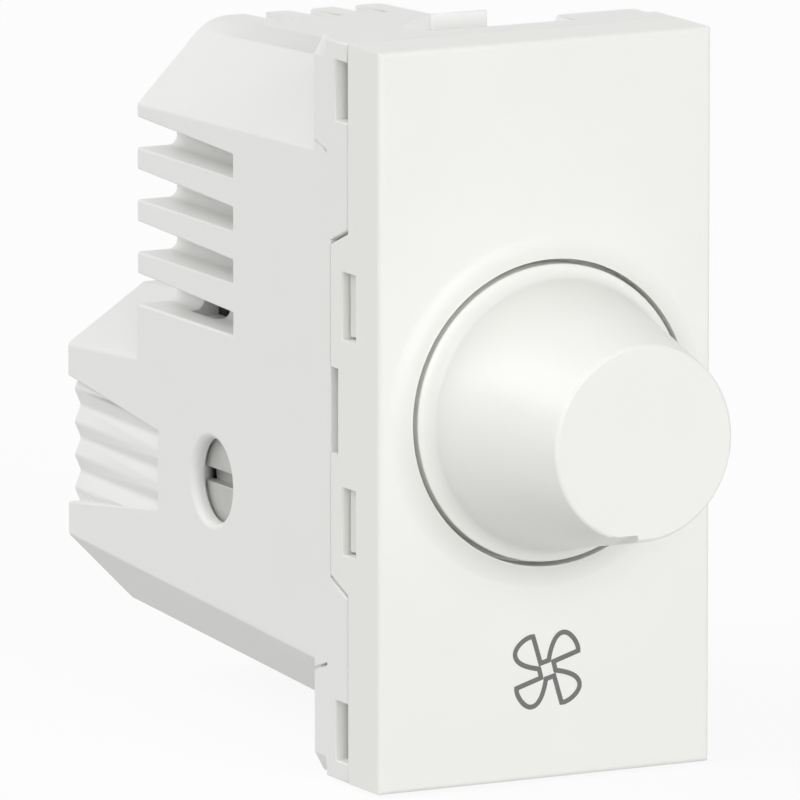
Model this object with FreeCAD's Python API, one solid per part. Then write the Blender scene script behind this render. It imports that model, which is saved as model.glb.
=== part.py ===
# Fan speed control, one module wide, for a wiring-device support frame.
# Millimetres. +Z is up, the front faces -Y and +Y goes into the wall.
# The origin is the middle of the flange's rear plane, where the device seats on its frame.
import FreeCAD, Part
import math
import os

# Module and front cover
module_width = 22.5
module_height = 45.0
face_to_seat = 8.6
cover_depth = 4.2
cover_front_wall = 1.6
cover_side_wall = 1.0
cover_edge_round = 0.35
seam_gap = 0.06
tab_length = 2.2
tab_half_height = 10.08
tab_end_slope = 0.9
tab_end_gap = 0.22
pry_notch_depth = 0.95
pry_notch_half = 2.6
window_start = 3.12
window_length = 1.73
window_low = 4.5
window_high = 8.6

# Collar and knob well in the cover
collar_height = 0.72
collar_margin = 0.45
collar_width = 1.47
collar_sag = 0.15
well_floor_setback = 1.0
well_floor_thickness = 1.2
well_wall = 1.25
well_hole_radius = 3.8

# Knob
knob_rim_gap = 0.28
knob_foot_gap = 0.3
knob_flare_width = 0.85
knob_flare_height = 1.6
knob_flare_sag = 0.16
knob_cone_taper = 2.29
knob_height = 12.45
knob_edge_chamfer = 0.18
knob_wall = 1.4
knob_hub_radius = 4.2
knob_rib_thickness = 1.0
knob_rib_count = 4
knob_rib_turn = 45.0
nick_depth = 0.46
nick_step_offset = 0.45
nick_angle = 20.0

# Knob clip
clip_thickness = 0.5
clip_width = 2.5
clip_gap_angle = 40.0
clip_clearance = 0.04
clip_setback = 2.0

# Control shaft and potentiometer
shaft_radius = 3.0
shaft_flat_depth = 1.5
shaft_flat_overrun = 0.3
shaft_tip_gap = 0.4
hub_clearance = 0.05
running_clearance = 0.05
bushing_wall = 0.55
bushing_front_gap = 0.3
bushing_collar_radius = 5.6
bushing_collar_thickness = 0.7
pot_front_gap = 1.0
pot_side_gap = 1.25
pot_wall = 0.8
pot_depth = 6.6
pot_base_thickness = 1.8
pot_fit = 0.05
track_thickness = 0.25
track_width = 2.0
track_inset = 0.3
track_angle = 290.0
rotor_side_gap = 0.6
rotor_thickness = 1.6
rotor_front_gap = 0.3
contact_thickness = 0.3
contact_gap = 0.1
contact_finger_width = 1.2
contact_reach_angle = 50.0
pot_pin_width = 1.0
pot_pin_thickness = 0.5
pot_pin_count = 3
pot_pin_inset = 1.3

# Housing
cover_fit = 0.1
spigot_front_gap = 0.2
spigot_wall = 0.9
spigot_end_wall = 1.6
flange_rear_wall = 1.6
ear_bevel_length = 1.6
ear_bevel_width = 0.65
ear_bevel_height = 1.2
ear_slit_height = 16.3
ear_slit_length = 1.9
ear_slit_width = 0.2
ear_slit_depth = 0.5
ear_slit_angle = 18.0
frame_window_length = 1.55
frame_window_low = 17.7
frame_window_high = 21.3
hook_height = 0.65
hook_clearance = 0.1
side_top = 15.52
top_bevel_width = 5.25
top_bevel_height = 5.43
side_draft_ratio = 0.0265
crown_draft_ratio = 0.042
side_bottom = 15.57
bottom_bevel_width = 4.45
bottom_bevel_height = 4.48
bottom_draft_ratio = 0.06
crown_round = 3.0
upper_depth = 23.75
lower_depth = 33.5
shoulder_side = -0.4
shoulder_width = 5.25
shoulder_height = 3.45
shoulder_start = 15.0
shoulder_draft_ratio = 0.06
shoulder_round = 0.5
housing_wall = 2.0
rear_wall = 1.8
crown_wall = 1.7
front_cavity_depth = 9.5
groove_wall = 1.15
upper_cavity_floor = 1.0
divider_half = 0.6
divider_thickness = 3.0
ledge_width = 1.4
ledge_half_height = 2.0
ledge_centre = 9.5

# Cooling grooves
groove_count = 4
groove_pitch = 3.24
groove_first = 12.2
groove_depth = 2.7
groove_start = 10.8
groove_front_height = 1.4
groove_rear_height = 1.9
groove_round = 0.6
vent_setback = 5.7
vent_length = 3.5
vent_inset = 0.15
vent_reach = 0.9
vent_drop = 0.4
crown_groove_count = 3
crown_groove_pitch = 3.1
crown_groove_width = 1.4
crown_groove_depth = 1.0
crown_groove_length = 4.5

# Ribbed grip
grip_start = 21.0
grip_centre = -7.55
grip_front_half = 2.45
grip_rear_half = 4.1
grip_rib_count = 4
grip_rib_pitch = 2.08
grip_rib_height = 0.45
grip_front_depth = -0.1
grip_rear_depth = 0.45
grip_round = 0.4

# Frame latches and the notches in the flange in front of them
latch_half = 1.95
latch_front = 2.6
latch_rise = 0.2
latch_land_length = 3.0
latch_land_drop = 0.9
latch_ramp_length = 5.6
latch_root = 18.5
latch_notch_half = 5.25
latch_notch_slope = 0.95
latch_notch_length = 2.15

# Terminals
terminal_depth = 13.7
terminal_height = -7.0
driver_hole_radius = 2.6
driver_hole_rim = 0.3
driver_hole_wall = 0.9
wire_hole_radius = 1.9
screw_head_gap = 0.15
screw_recess_clearance = 0.25
screw_head_thickness = 1.4
screw_head_radius = 2.85
screw_slot_width = 0.8
screw_slot_depth = 0.7
screw_radius = 1.5
bar_thickness = 0.8
bar_width = 4.0
bar_rear_overhang = 3.0
bar_front = 6.5
bar_tail_width = 1.4
bar_tail_drop = 1.3
cage_wall = 1.1
cage_side_wall = 0.8
cage_side_clearance = 0.4
cage_length = 5.0
cage_wire_room = 2.2
cage_bar_gap = 0.05
cage_floor = 0.95
cage_divider_gap = 0.35

# Circuit board and the parts on its rear
board_thickness = 1.6
board_clearance = 0.3
lead_width = 0.7
lead_clearance = 0.1
sink_side_gap = 1.0
sink_thickness = 1.4
sink_top_gap = 0.38
sink_rear_gap = 1.0
sink_fin_height = 1.3
sink_fin_thickness = 0.8
sink_fin_pitch = 2.6
sink_fin_count = 3
triac_width = 10.0
triac_case_length = 9.2
triac_case_thickness = 4.5
triac_tab_length = 6.2
triac_tab_thickness = 1.3
triac_rear_gap = 0.6
triac_lead_pitch = 2.54
triac_lead_count = 3
triac_lead_width = 0.8
triac_lead_thickness = 0.5
triac_screw_radius = 1.5
triac_screw_head_radius = 2.7
triac_screw_head_height = 1.6
triac_screw_clearance = 0.1
choke_centre = -1.0
choke_outer_radius = 4.6
choke_inner_radius = 2.5
choke_length = 4.2
choke_wire_radius = 0.35
choke_turns = 14
choke_wire_gap = 0.05
choke_stand_off = 0.9
big_capacitor_side_gap = 0.45
big_capacitor_height = 5.0
big_capacitor_depth = 11.0
big_capacitor_centre = 7.2
big_capacitor_lead_inset = 1.5
small_capacitor_width = 7.2
small_capacitor_height = 3.4
small_capacitor_depth = 6.0
small_capacitor_centre = -8.2
small_capacitor_lead_pitch = 5.0
case_edge_chamfer = 0.4
resistor_radius = 1.15
resistor_length = 6.0
resistor_side_gap = 0.7
resistor_stand_off = 0.25
resistor_lead_width = 0.55
resistor_lead_span = 9.0
diac_radius = 0.95
diac_length = 3.8
diac_lead_span = 7.6
diac_lead_gap = 1.0
diac_side_gap = 0.25
fuse_radius = 2.4
fuse_end_gap = 0.23
fuse_cap_length = 3.0
fuse_tube_step = 0.25
fuse_floor_gap = 0.78
fuse_stand_off = 0.7
clip_strip_width = 2.2
clip_strip_thickness = 0.35
clip_mouth = 1.2

# Worked out from the sizes above
half_width = module_width / 2
half_height = module_height / 2
face_y = -face_to_seat
skirt_rear_y = face_y + cover_depth
tab_rear_y = skirt_rear_y + tab_length
cover_inner_half = half_width - cover_side_wall
cover_inner_top = half_height - cover_side_wall
well_floor_y = face_y + well_floor_setback
well_floor_rear_y = well_floor_y + well_floor_thickness
spigot_half = cover_inner_half - cover_fit
spigot_top = cover_inner_top - cover_fit
spigot_front_y = well_floor_rear_y + spigot_front_gap
pocket_half = spigot_half - spigot_wall
upper_cavity_half = half_width - groove_depth - groove_wall
collar_outer_radius = half_width - collar_margin
well_radius = collar_outer_radius - collar_width
knob_foot_radius = well_radius - knob_rim_gap
knob_flare_radius = knob_foot_radius - knob_flare_width
knob_tip_radius = knob_flare_radius - knob_cone_taper
pocket_top = spigot_top - spigot_end_wall
knob_rear_y = well_floor_y - knob_foot_gap
knob_tip_y = face_y - knob_height
pot_front_y = well_floor_rear_y + pot_front_gap
board_front_y = pot_front_y + pot_depth
board_rear_y = board_front_y + board_thickness
pot_radius = pocket_half - pot_side_gap
rotor_radius = pot_radius - pot_wall - rotor_side_gap
track_outer_radius = rotor_radius - track_inset
track_inner_radius = track_outer_radius - track_width
pot_pin_ring = track_outer_radius - pot_pin_inset
pot_pin_pitch = pot_radius / 2
pot_base_front_y = board_front_y - pot_base_thickness
bushing_radius = shaft_radius + running_clearance + bushing_wall
bushing_front_y = knob_rear_y - knob_foot_gap
hub_rear_y = bushing_front_y - bushing_front_gap
knob_cavity_tip_y = knob_tip_y + knob_wall
shaft_tip_y = knob_cavity_tip_y + shaft_tip_gap
rotor_front_y = pot_front_y + pot_wall + rotor_front_gap
rotor_rear_y = rotor_front_y + rotor_thickness
track_front_y = pot_base_front_y - track_thickness
screw_head_x = half_width - driver_hole_wall - screw_head_gap
screw_seat_x = screw_head_x - screw_head_thickness
cage_floor_x = divider_half + cage_divider_gap + cage_floor
bar_inner_x = cage_floor_x + cage_wire_room
bar_outer_x = bar_inner_x + bar_thickness
wire_hole_x = (cage_floor_x + bar_inner_x) / 2
latch_height = half_height + latch_rise
top_bevel_share = math.tan(math.atan2(top_bevel_height, top_bevel_width) / 2)
bottom_bevel_share = math.tan(math.atan2(bottom_bevel_height, bottom_bevel_width) / 2)
crown_height = side_top + top_bevel_height
room_top = crown_height - crown_draft_ratio * upper_depth - crown_wall
room_top_half = half_width - top_bevel_width - crown_wall * top_bevel_share
room_bottom = -side_bottom + bottom_draft_ratio * lower_depth - bottom_bevel_height + housing_wall
room_bottom_half = half_width - bottom_bevel_width - housing_wall * bottom_bevel_share
room_rear_y = upper_depth - rear_wall
sink_half_width = upper_cavity_half - sink_side_gap
sink_underside = room_top - sink_top_gap - sink_fin_height - sink_thickness
sink_rear_y = room_rear_y - sink_rear_gap
triac_rear_y = room_rear_y - triac_rear_gap
triac_tab_front_y = triac_rear_y - triac_tab_length
triac_front_y = triac_tab_front_y - triac_case_length
triac_bolt_y = triac_rear_y - triac_tab_length / 2
diac_offset = pocket_half - ledge_width - diac_side_gap - diac_radius
big_capacitor_width = 2 * (diac_offset - diac_radius - big_capacitor_side_gap)
big_capacitor_lead_pitch = big_capacitor_width - 2 * big_capacitor_lead_inset
resistor_offset = pocket_half - resistor_side_gap - resistor_radius
diac_centre = resistor_lead_span / 2 + diac_lead_gap + diac_lead_span / 2
fuse_length = 2 * (room_bottom_half + fuse_end_gap)
fuse_height = room_bottom + fuse_floor_gap + fuse_radius

# How far a cut reaches past the solid that it cuts, and what counts as parallel
slack = 1.0
parallel_ratio = 0.95
full_turn = 360.0


def vec(x, y, z):
    return FreeCAD.Vector(x, y, z)


def block(x0, x1, y0, y1, z0, z1):
    return Part.makeBox(x1 - x0, y1 - y0, z1 - z0, vec(x0, y0, z0))


def rod_x(radius, x0, x1, y, z):
    return Part.makeCylinder(radius, x1 - x0, vec(x0, y, z), vec(1, 0, 0))


def rod_y(radius, y0, y1, x=0.0, z=0.0):
    return Part.makeCylinder(radius, y1 - y0, vec(x, y0, z), vec(0, 1, 0))


def rod_z(radius, z0, z1, x, y):
    return Part.makeCylinder(radius, z1 - z0, vec(x, y, z0), vec(0, 0, 1))


def closed_wire(points):
    return Part.makePolygon(points + [points[0]])


def prism_y(outline, y0, y1):
    # outline: (x, z) corners, drawn at y0 and pushed to y1
    wire = closed_wire([vec(x, y0, z) for x, z in outline])
    return Part.Face(wire).extrude(vec(0, y1 - y0, 0))


def prism_x(outline, x0, x1):
    # outline: (y, z) corners, drawn at x0 and pushed to x1
    wire = closed_wire([vec(x0, y, z) for y, z in outline])
    return Part.Face(wire).extrude(vec(x1 - x0, 0, 0))


def prism_z(outline, z0, z1):
    # outline: (x, y) corners, drawn at z0 and pushed to z1
    wire = closed_wire([vec(x, y, z0) for x, y in outline])
    return Part.Face(wire).extrude(vec(0, 0, z1 - z0))


def loft_y(front, y0, rear, y1):
    # Flat-sided solid between two (x, z) outlines whose sides run parallel
    near = [vec(x, y0, z) for x, z in front]
    far = [vec(x, y1, z) for x, z in rear]
    walls = [[near[i], near[i - 1], far[i - 1], far[i]] for i in range(len(near))]
    faces = [Part.Face(closed_wire(corners)) for corners in walls + [near, far[::-1]]]
    solid = Part.makeSolid(Part.makeShell(faces))
    if solid.Volume < 0:
        solid.reverse()
    return solid


def turn_y(edges):
    # Solid of revolution about the Y axis from the edges of a closed (radius, y) outline
    return Part.Face(Part.Wire(edges)).revolve(vec(0, 0, 0), vec(0, 1, 0), full_turn)


def line(a, b):
    return Part.makeLine(vec(a[0], a[1], 0), vec(b[0], b[1], 0))


def hollow_arc(a, b, sag):
    # Arc from a to b whose middle lies sag to the right of the straight line between them
    run = math.hypot(b[0] - a[0], b[1] - a[1])
    middle_x = (a[0] + b[0]) / 2 + (b[1] - a[1]) / run * sag
    middle_y = (a[1] + b[1]) / 2 - (b[0] - a[0]) / run * sag
    return Part.Arc(vec(a[0], a[1], 0), vec(middle_x, middle_y, 0), vec(b[0], b[1], 0)).toShape()


def post(x, z, width, y0, y1):
    # Square bar along Y
    return block(x - width / 2, x + width / 2, y0, y1, z - width / 2, z + width / 2)


def in_a_row(count, pitch):
    # Places of evenly spaced things about zero
    return [(index - (count - 1) / 2) * pitch for index in range(count)]


def mirrored_x(shape):
    return shape.mirror(vec(0, 0, 0), vec(1, 0, 0))


def mirrored_z(shape):
    return shape.mirror(vec(0, 0, 0), vec(0, 0, 1))


def both_sides(shape):
    return [shape, mirrored_x(shape)]


def four_corners(shape):
    return both_sides(shape) + [mirrored_z(copy) for copy in both_sides(shape)]


def joined(shapes):
    return shapes[0].multiFuse(shapes[1:]).removeSplitter()


def straight_edges_along(shape, axis, test):
    # Edges that run along one axis and whose middle passes the test
    found = []
    for edge in shape.Edges:
        if len(edge.Vertexes) == 2:
            run = edge.Vertexes[1].Point - edge.Vertexes[0].Point
            if abs(run.normalize().dot(axis)) > parallel_ratio and test(edge.CenterOfMass):
                found.append(edge)
    return found


def tab_outline(grow_end, grow_rear):
    # Side view of the cover's middle tab; the growth makes the matching recess in the flange
    root = tab_half_height + tab_end_slope + grow_end
    tip = tab_half_height + grow_end
    rear = tab_rear_y + grow_rear
    return [(skirt_rear_y - slack, -root), (skirt_rear_y, -root), (rear, -tip),
            (rear, tip), (skirt_rear_y, root), (skirt_rear_y - slack, root)]


def cover_collar():
    # Soft ring that climbs from the face to the rim of the knob well
    rim_y = face_y - collar_height
    rim = (well_radius, rim_y)
    foot = (collar_outer_radius, face_y)
    inside = (well_radius, well_floor_y)
    corner = (collar_outer_radius, well_floor_y)
    return turn_y([hollow_arc(foot, rim, collar_sag), line(rim, inside), line(inside, corner),
                   line(corner, foot)])


def front_cover():
    shell = block(-half_width, half_width, face_y, skirt_rear_y - seam_gap, -half_height, half_height)
    front_edges = [edge for edge in shell.Edges if abs(edge.CenterOfMass.y - face_y) < seam_gap]
    shell = shell.makeFillet(cover_edge_round, front_edges)
    hollow = block(-cover_inner_half, cover_inner_half, face_y + cover_front_wall, skirt_rear_y + slack,
                   -cover_inner_top, cover_inner_top)
    shell = shell.cut(hollow)
    tab = prism_x(tab_outline(0, 0), cover_inner_half, half_width)
    well = rod_y(well_radius + well_wall, face_y + cover_front_wall, well_floor_rear_y)
    well_room = block(-half_width, half_width, face_y, skirt_rear_y, -half_height, half_height)
    shell = joined([shell, well.common(well_room), cover_collar()] + both_sides(tab))
    cuts = [rod_y(well_radius, face_y - knob_height, well_floor_y),
            rod_y(well_hole_radius, face_y, skirt_rear_y)]
    window = block(cover_inner_half - slack, half_width + slack, face_y + window_start,
                   face_y + window_start + window_length, window_low, window_high)
    notch = block(cover_inner_half - slack, half_width + slack, tab_rear_y - pry_notch_depth,
                  tab_rear_y + slack, -pry_notch_half, pry_notch_half)
    window_ring = rod_y(well_radius + well_wall, face_y, well_floor_rear_y)
    cuts += [side.cut(window_ring) for side in four_corners(window)]
    cuts += both_sides(notch)
    return shell.cut(cuts).removeSplitter()


def housing_section(y):
    # Outer outline behind the flange: bevelled at the top and bottom, with moulding draft
    top_side = side_top - side_draft_ratio * y
    bottom_side = -side_bottom + bottom_draft_ratio * y
    top = crown_height - crown_draft_ratio * y
    bottom = bottom_side - bottom_bevel_height
    top_half = half_width - (top - top_side) * top_bevel_width / top_bevel_height
    bottom_half = half_width - bottom_bevel_width
    return [(half_width, bottom_side), (half_width, top_side), (top_half, top), (-top_half, top),
            (-half_width, top_side), (-half_width, bottom_side), (-bottom_half, bottom),
            (bottom_half, bottom)]


def shoulder_section(y):
    # Outline of the lower block, which reaches further back than the rest
    side = shoulder_side - shoulder_draft_ratio * (y - shoulder_start)
    bottom_side = -side_bottom + bottom_draft_ratio * y
    bottom = bottom_side - bottom_bevel_height
    top_half = half_width - shoulder_width
    bottom_half = half_width - bottom_bevel_width
    return [(half_width, bottom_side), (half_width, side), (top_half, side + shoulder_height),
            (-top_half, side + shoulder_height), (-half_width, side), (-half_width, bottom_side),
            (-bottom_half, bottom), (bottom_half, bottom)]


def housing_outside():
    flange = block(-half_width, half_width, skirt_rear_y, 0, -half_height, half_height)
    spigot = block(-spigot_half, spigot_half, spigot_front_y, skirt_rear_y, -spigot_top, spigot_top)
    body = loft_y(housing_section(0), 0, housing_section(upper_depth), upper_depth)
    crown_edges = straight_edges_along(body, vec(0, 1, 0), lambda middle: middle.z > side_top)
    body = body.makeFillet(crown_round, crown_edges)
    lower = loft_y(shoulder_section(shoulder_start), shoulder_start, shoulder_section(lower_depth),
                   lower_depth)
    shoulder_edges = straight_edges_along(lower, vec(0, 1, 0),
                                          lambda middle: middle.z > shoulder_side - slack)
    lower = lower.makeFillet(shoulder_round, shoulder_edges)
    return joined([flange, spigot, body, lower])


def front_room_outline(clearance):
    # Room for the board behind the flange; the clearance gives the outline of what lies in it
    wide = pocket_half - clearance
    top = room_top - clearance
    top_half = room_top_half - clearance * top_bevel_share
    bottom = room_bottom + clearance
    bottom_half = room_bottom_half - clearance * bottom_bevel_share
    top_start = top - (wide - top_half) * top_bevel_height / top_bevel_width
    bottom_start = bottom + (wide - bottom_half) * bottom_bevel_height / bottom_bevel_width
    return [(wide, bottom_start), (wide, top_start), (top_half, top), (-top_half, top), (-wide, top_start),
            (-wide, bottom_start), (-bottom_half, bottom), (bottom_half, bottom)]


def housing_cavities():
    # The room for the cover's tabs, the board, the power parts and the two terminals
    pocket = block(-pocket_half, pocket_half, spigot_front_y - slack, -flange_rear_wall, -pocket_top,
                   pocket_top)
    front = prism_y(front_room_outline(0), -flange_rear_wall, front_cavity_depth)
    shoulder = room_top - (upper_cavity_half - room_top_half) * top_bevel_height / top_bevel_width
    upper_outline = [(upper_cavity_half, upper_cavity_floor), (upper_cavity_half, shoulder),
                     (room_top_half, room_top), (-room_top_half, room_top), (-upper_cavity_half, shoulder),
                     (-upper_cavity_half, upper_cavity_floor)]
    upper = prism_y(upper_outline, front_cavity_depth, upper_depth - rear_wall)
    ceiling = upper_cavity_floor - divider_thickness
    bottom_start = room_bottom + (pocket_half - room_bottom_half) * bottom_bevel_height / bottom_bevel_width
    chamber_outline = [(divider_half, room_bottom), (room_bottom_half, room_bottom),
                       (pocket_half, bottom_start), (pocket_half, ceiling), (divider_half, ceiling)]
    chamber = prism_y(chamber_outline, front_cavity_depth, lower_depth - rear_wall)
    return [pocket, front, upper] + both_sides(chamber)


def tab_recess():
    return prism_x(tab_outline(tab_end_gap, seam_gap), spigot_half, half_width + slack)


def frame_window():
    return block(spigot_half, half_width + slack, skirt_rear_y, skirt_rear_y + frame_window_length,
                 frame_window_low, frame_window_high)


def ear_bevel():
    corner = [(half_width - ear_bevel_width, half_height), (half_width, half_height - ear_bevel_height),
              (half_width + slack, half_height - ear_bevel_height), (half_width + slack, half_height + slack),
              (half_width - ear_bevel_width, half_height + slack)]
    return prism_y(corner, -ear_bevel_length, slack)


def ear_slit():
    slit = block(half_width - ear_slit_depth, half_width + slack, -ear_slit_length, 0,
                 ear_slit_height - ear_slit_width, ear_slit_height)
    slit.rotate(vec(half_width, 0, ear_slit_height), vec(1, 0, 0), ear_slit_angle)
    return slit


def latch_notch():
    # Notch through the flange in front of a latch, down to the crown, with slanted ends
    wide = latch_notch_half
    narrow = latch_notch_half - latch_notch_slope
    outline = [(narrow, crown_height), (wide, half_height), (wide, half_height + slack),
               (-wide, half_height + slack), (-wide, half_height), (-narrow, crown_height)]
    return prism_y(outline, -latch_notch_length, slack)


def frame_latch():
    # Lug behind the flange: upright catch face to the front, lead-in ramp to the rear
    land_rear = latch_front + latch_land_length
    outline = [(latch_front, latch_root), (latch_front, latch_height),
               (land_rear, latch_height - latch_land_drop), (land_rear + latch_ramp_length, latch_root)]
    return prism_x(outline, -latch_half, latch_half)


def cover_hook():
    # Snap ramp that springs into a window of the cover
    rear = face_y + window_start + window_length - hook_clearance
    outline = [(spigot_half - spigot_wall / 2, face_y + window_start), (spigot_half, face_y + window_start),
               (spigot_half + hook_height, rear), (spigot_half - spigot_wall / 2, rear)]
    return prism_z(outline, window_low + hook_clearance, window_high - hook_clearance)


def cooling_groove(index):
    # Groove in the side wall, open to the rear, that gets taller towards its mouth
    low = groove_first - index * groove_pitch
    mouth = upper_depth + slack
    outline = [(groove_start, low), (mouth, low), (mouth, low + groove_rear_height),
               (groove_start, low + groove_front_height)]
    groove = prism_x(outline, half_width - groove_depth, half_width + slack)
    floor_x = half_width - groove_depth
    inner = straight_edges_along(groove, vec(0, 1, 0), lambda middle: middle.x < floor_x + seam_gap)
    return groove.makeFillet(groove_round, inner)


def groove_vent():
    # Opening from the inner corner of the lowest groove into the room of the power parts
    low = groove_first - (groove_count - 1) * groove_pitch
    front = groove_start + vent_setback
    return block(upper_cavity_half - slack, half_width - groove_depth + vent_reach, front,
                 front + vent_length, low - vent_drop, low + groove_front_height - vent_inset)


def crown_groove(centre):
    # Short groove at the rear of the crown that runs out towards the front
    front = upper_depth - crown_groove_length
    front_top = crown_height - crown_draft_ratio * front
    floor = crown_height - crown_draft_ratio * upper_depth - crown_groove_depth
    outline = [(front, front_top), (upper_depth, floor), (upper_depth + slack, floor),
               (upper_depth + slack, crown_height), (front, crown_height)]
    return prism_x(outline, centre - crown_groove_width / 2, centre + crown_groove_width / 2)


def grip_outline(depth):
    # Ridges across the height of the grip, cut to the given depth at their crests
    floor = half_width - depth
    first = grip_centre - grip_rib_count * grip_rib_pitch / 2
    ridges = []
    for rib in range(grip_rib_count):
        low = first + rib * grip_rib_pitch
        ridges += [(floor - grip_rib_height, low), (floor, low + grip_rib_pitch / 2)]
    top = first + grip_rib_count * grip_rib_pitch
    ridges.append((floor - grip_rib_height, top))
    outside = half_width + grip_rib_height
    return [(outside, first), (outside, top)] + ridges[::-1]


def ribbed_grip():
    # Finger grip on each side of the lower block, deeper and wider towards the rear
    rear = lower_depth + slack
    ridges = loft_y(grip_outline(grip_front_depth), grip_start, grip_outline(grip_rear_depth), rear)
    ridge_lines = straight_edges_along(ridges, vec(0, 1, 0),
                                       lambda middle: abs(middle.z - grip_centre) < grip_rear_half)
    ridges = ridges.makeFillet(grip_round, ridge_lines)
    window = prism_x([(grip_start, grip_centre - grip_front_half), (rear, grip_centre - grip_rear_half),
                      (rear, grip_centre + grip_rear_half), (grip_start, grip_centre + grip_front_half)],
                     half_width - housing_wall, half_width + slack)
    return ridges.common(window)


def driver_hole():
    # Screwdriver hole to a terminal screw, with a broken rim
    hole = rod_x(driver_hole_radius, half_width - housing_wall - slack, half_width + slack,
                 terminal_depth, terminal_height)
    rim = Part.makeCone(driver_hole_radius, driver_hole_radius + driver_hole_rim, driver_hole_rim,
                        vec(half_width - driver_hole_rim, terminal_depth, terminal_height), vec(1, 0, 0))
    return hole.fuse(rim)


def screw_recess():
    # Hollow for the screw's head in the side wall, which stays thin round the screwdriver hole
    return rod_x(screw_head_radius + screw_recess_clearance, pocket_half - slack,
                 half_width - driver_hole_wall, terminal_depth, terminal_height)


def wire_hole():
    return rod_y(wire_hole_radius, lower_depth - rear_wall - slack, lower_depth + slack,
                 wire_hole_x, terminal_height)


def board_ledge():
    # Rib that carries the board's rear face
    return block(pocket_half - ledge_width, pocket_half, board_rear_y, front_cavity_depth,
                 ledge_centre - ledge_half_height, ledge_centre + ledge_half_height)


def rear_housing():
    latches = [frame_latch(), mirrored_z(frame_latch())]
    cuts = housing_cavities() + both_sides(tab_recess())
    cuts += four_corners(frame_window()) + four_corners(ear_bevel()) + four_corners(ear_slit())
    cuts += [latch_notch(), mirrored_z(latch_notch())]
    for index in range(groove_count):
        cuts += both_sides(cooling_groove(index))
    cuts += both_sides(groove_vent())
    cuts += [crown_groove(centre) for centre in in_a_row(crown_groove_count, crown_groove_pitch)]
    cuts += both_sides(ribbed_grip()) + both_sides(driver_hole()) + both_sides(screw_recess())
    cuts += both_sides(wire_hole())
    outside = joined([housing_outside()] + latches)
    shell = outside.cut(cuts)
    return joined([shell] + four_corners(cover_hook()) + four_corners(board_ledge()))


def knob_profile():
    # Outline of the knob's outside: foot, concave flare, cone and flat tip
    foot_rear = (knob_foot_radius, knob_rear_y)
    foot_front = (knob_foot_radius, face_y - collar_height)
    flare = (knob_flare_radius, face_y - knob_flare_height)
    tip = (knob_tip_radius, knob_tip_y)
    tip_centre = (0, knob_tip_y)
    rear_centre = (0, knob_rear_y)
    return [line(foot_rear, foot_front), hollow_arc(foot_front, flare, knob_flare_sag), line(flare, tip),
            line(tip, tip_centre), line(tip_centre, rear_centre), line(rear_centre, foot_rear)]


def knob_room():
    # Hollow of the knob, which follows the cone at an even wall
    cone_run = (knob_flare_radius - knob_tip_radius) / (knob_height - knob_flare_height)
    rear = (knob_flare_radius - knob_wall, knob_rear_y + slack)
    tip = (knob_tip_radius - knob_wall + cone_run * knob_wall, knob_cavity_tip_y)
    return turn_y([line(rear, tip), line(tip, (0, tip[1])), line((0, tip[1]), (0, rear[1])),
                   line((0, rear[1]), rear)])


def shaft_section(radius, flat, y0, y1):
    # Round bar with a flat on its upper side
    bar = rod_y(radius, y0, y1)
    return bar.cut(block(-radius - slack, radius + slack, y0 - slack, y1 + slack, flat, radius + slack))


def knob_ribs():
    # Webs from the hub to the cone, cut back to leave room for the clip
    clip_room = rod_y(clip_outer_radius() + slack, hub_rear_y - clip_setback - clip_width - slack,
                      hub_rear_y + slack)
    ribs = []
    for index in range(knob_rib_count):
        rib = block(0, knob_foot_radius, knob_tip_y, hub_rear_y, -knob_rib_thickness / 2,
                    knob_rib_thickness / 2)
        rib.rotate(vec(0, 0, 0), vec(0, 1, 0), knob_rib_turn + index * full_turn / knob_rib_count)
        ribs.append(rib.cut(clip_room))
    return ribs


def knob_nick():
    # Sloping facet at the lower edge of the tip, stepped at its right end, that serves as the pointer
    nick = block(-knob_foot_radius, -nick_step_offset, 0, knob_height, -knob_foot_radius, 0)
    nick.rotate(vec(0, 0, 0), vec(1, 0, 0), -nick_angle)
    nick.translate(vec(0, knob_tip_y, -knob_tip_radius + nick_depth))
    return nick


def knob():
    body = turn_y(knob_profile())
    tip_edge = [edge for edge in body.Edges if abs(edge.CenterOfMass.y - knob_tip_y) < seam_gap
                and edge.Length > math.pi * knob_tip_radius]
    body = body.makeChamfer(knob_edge_chamfer, tip_edge)
    hub = rod_y(knob_hub_radius, knob_tip_y, hub_rear_y)
    inside = joined([hub] + knob_ribs()).common(knob_room())
    body = joined([body.cut(knob_room()), inside])
    bore = shaft_section(shaft_radius + hub_clearance, shaft_radius - shaft_flat_depth + hub_clearance,
                         knob_cavity_tip_y, hub_rear_y + slack)
    return body.cut([bore, knob_nick()])


def clip_outer_radius():
    return knob_hub_radius + clip_clearance + clip_thickness


def ring_gap(radius, y0, y1, angle):
    # Wedge that opens a ring on its lower side
    half = math.radians(angle / 2)
    reach = 2 * radius
    side = reach * math.tan(half)
    return prism_y([(0, 0), (-side, -reach), (side, -reach)], y0, y1)


def knob_clip():
    y1 = hub_rear_y - clip_setback
    y0 = y1 - clip_width
    ring = rod_y(clip_outer_radius(), y0, y1).cut(rod_y(knob_hub_radius + clip_clearance, y0, y1))
    return ring.cut(ring_gap(clip_outer_radius(), y0, y1, clip_gap_angle))


def control_shaft():
    flat_rear = hub_rear_y + shaft_flat_overrun
    tip = shaft_section(shaft_radius, shaft_radius - shaft_flat_depth, shaft_tip_y, flat_rear)
    body = rod_y(shaft_radius, flat_rear, rotor_rear_y)
    return joined([tip, body])


def shaft_bushing():
    collar = rod_y(bushing_collar_radius, pot_front_y - bushing_collar_thickness, pot_front_y)
    sleeve = rod_y(bushing_radius, bushing_front_y, pot_front_y)
    bore = rod_y(shaft_radius + running_clearance, bushing_front_y, pot_front_y)
    return joined([collar, sleeve]).cut(bore)


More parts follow.
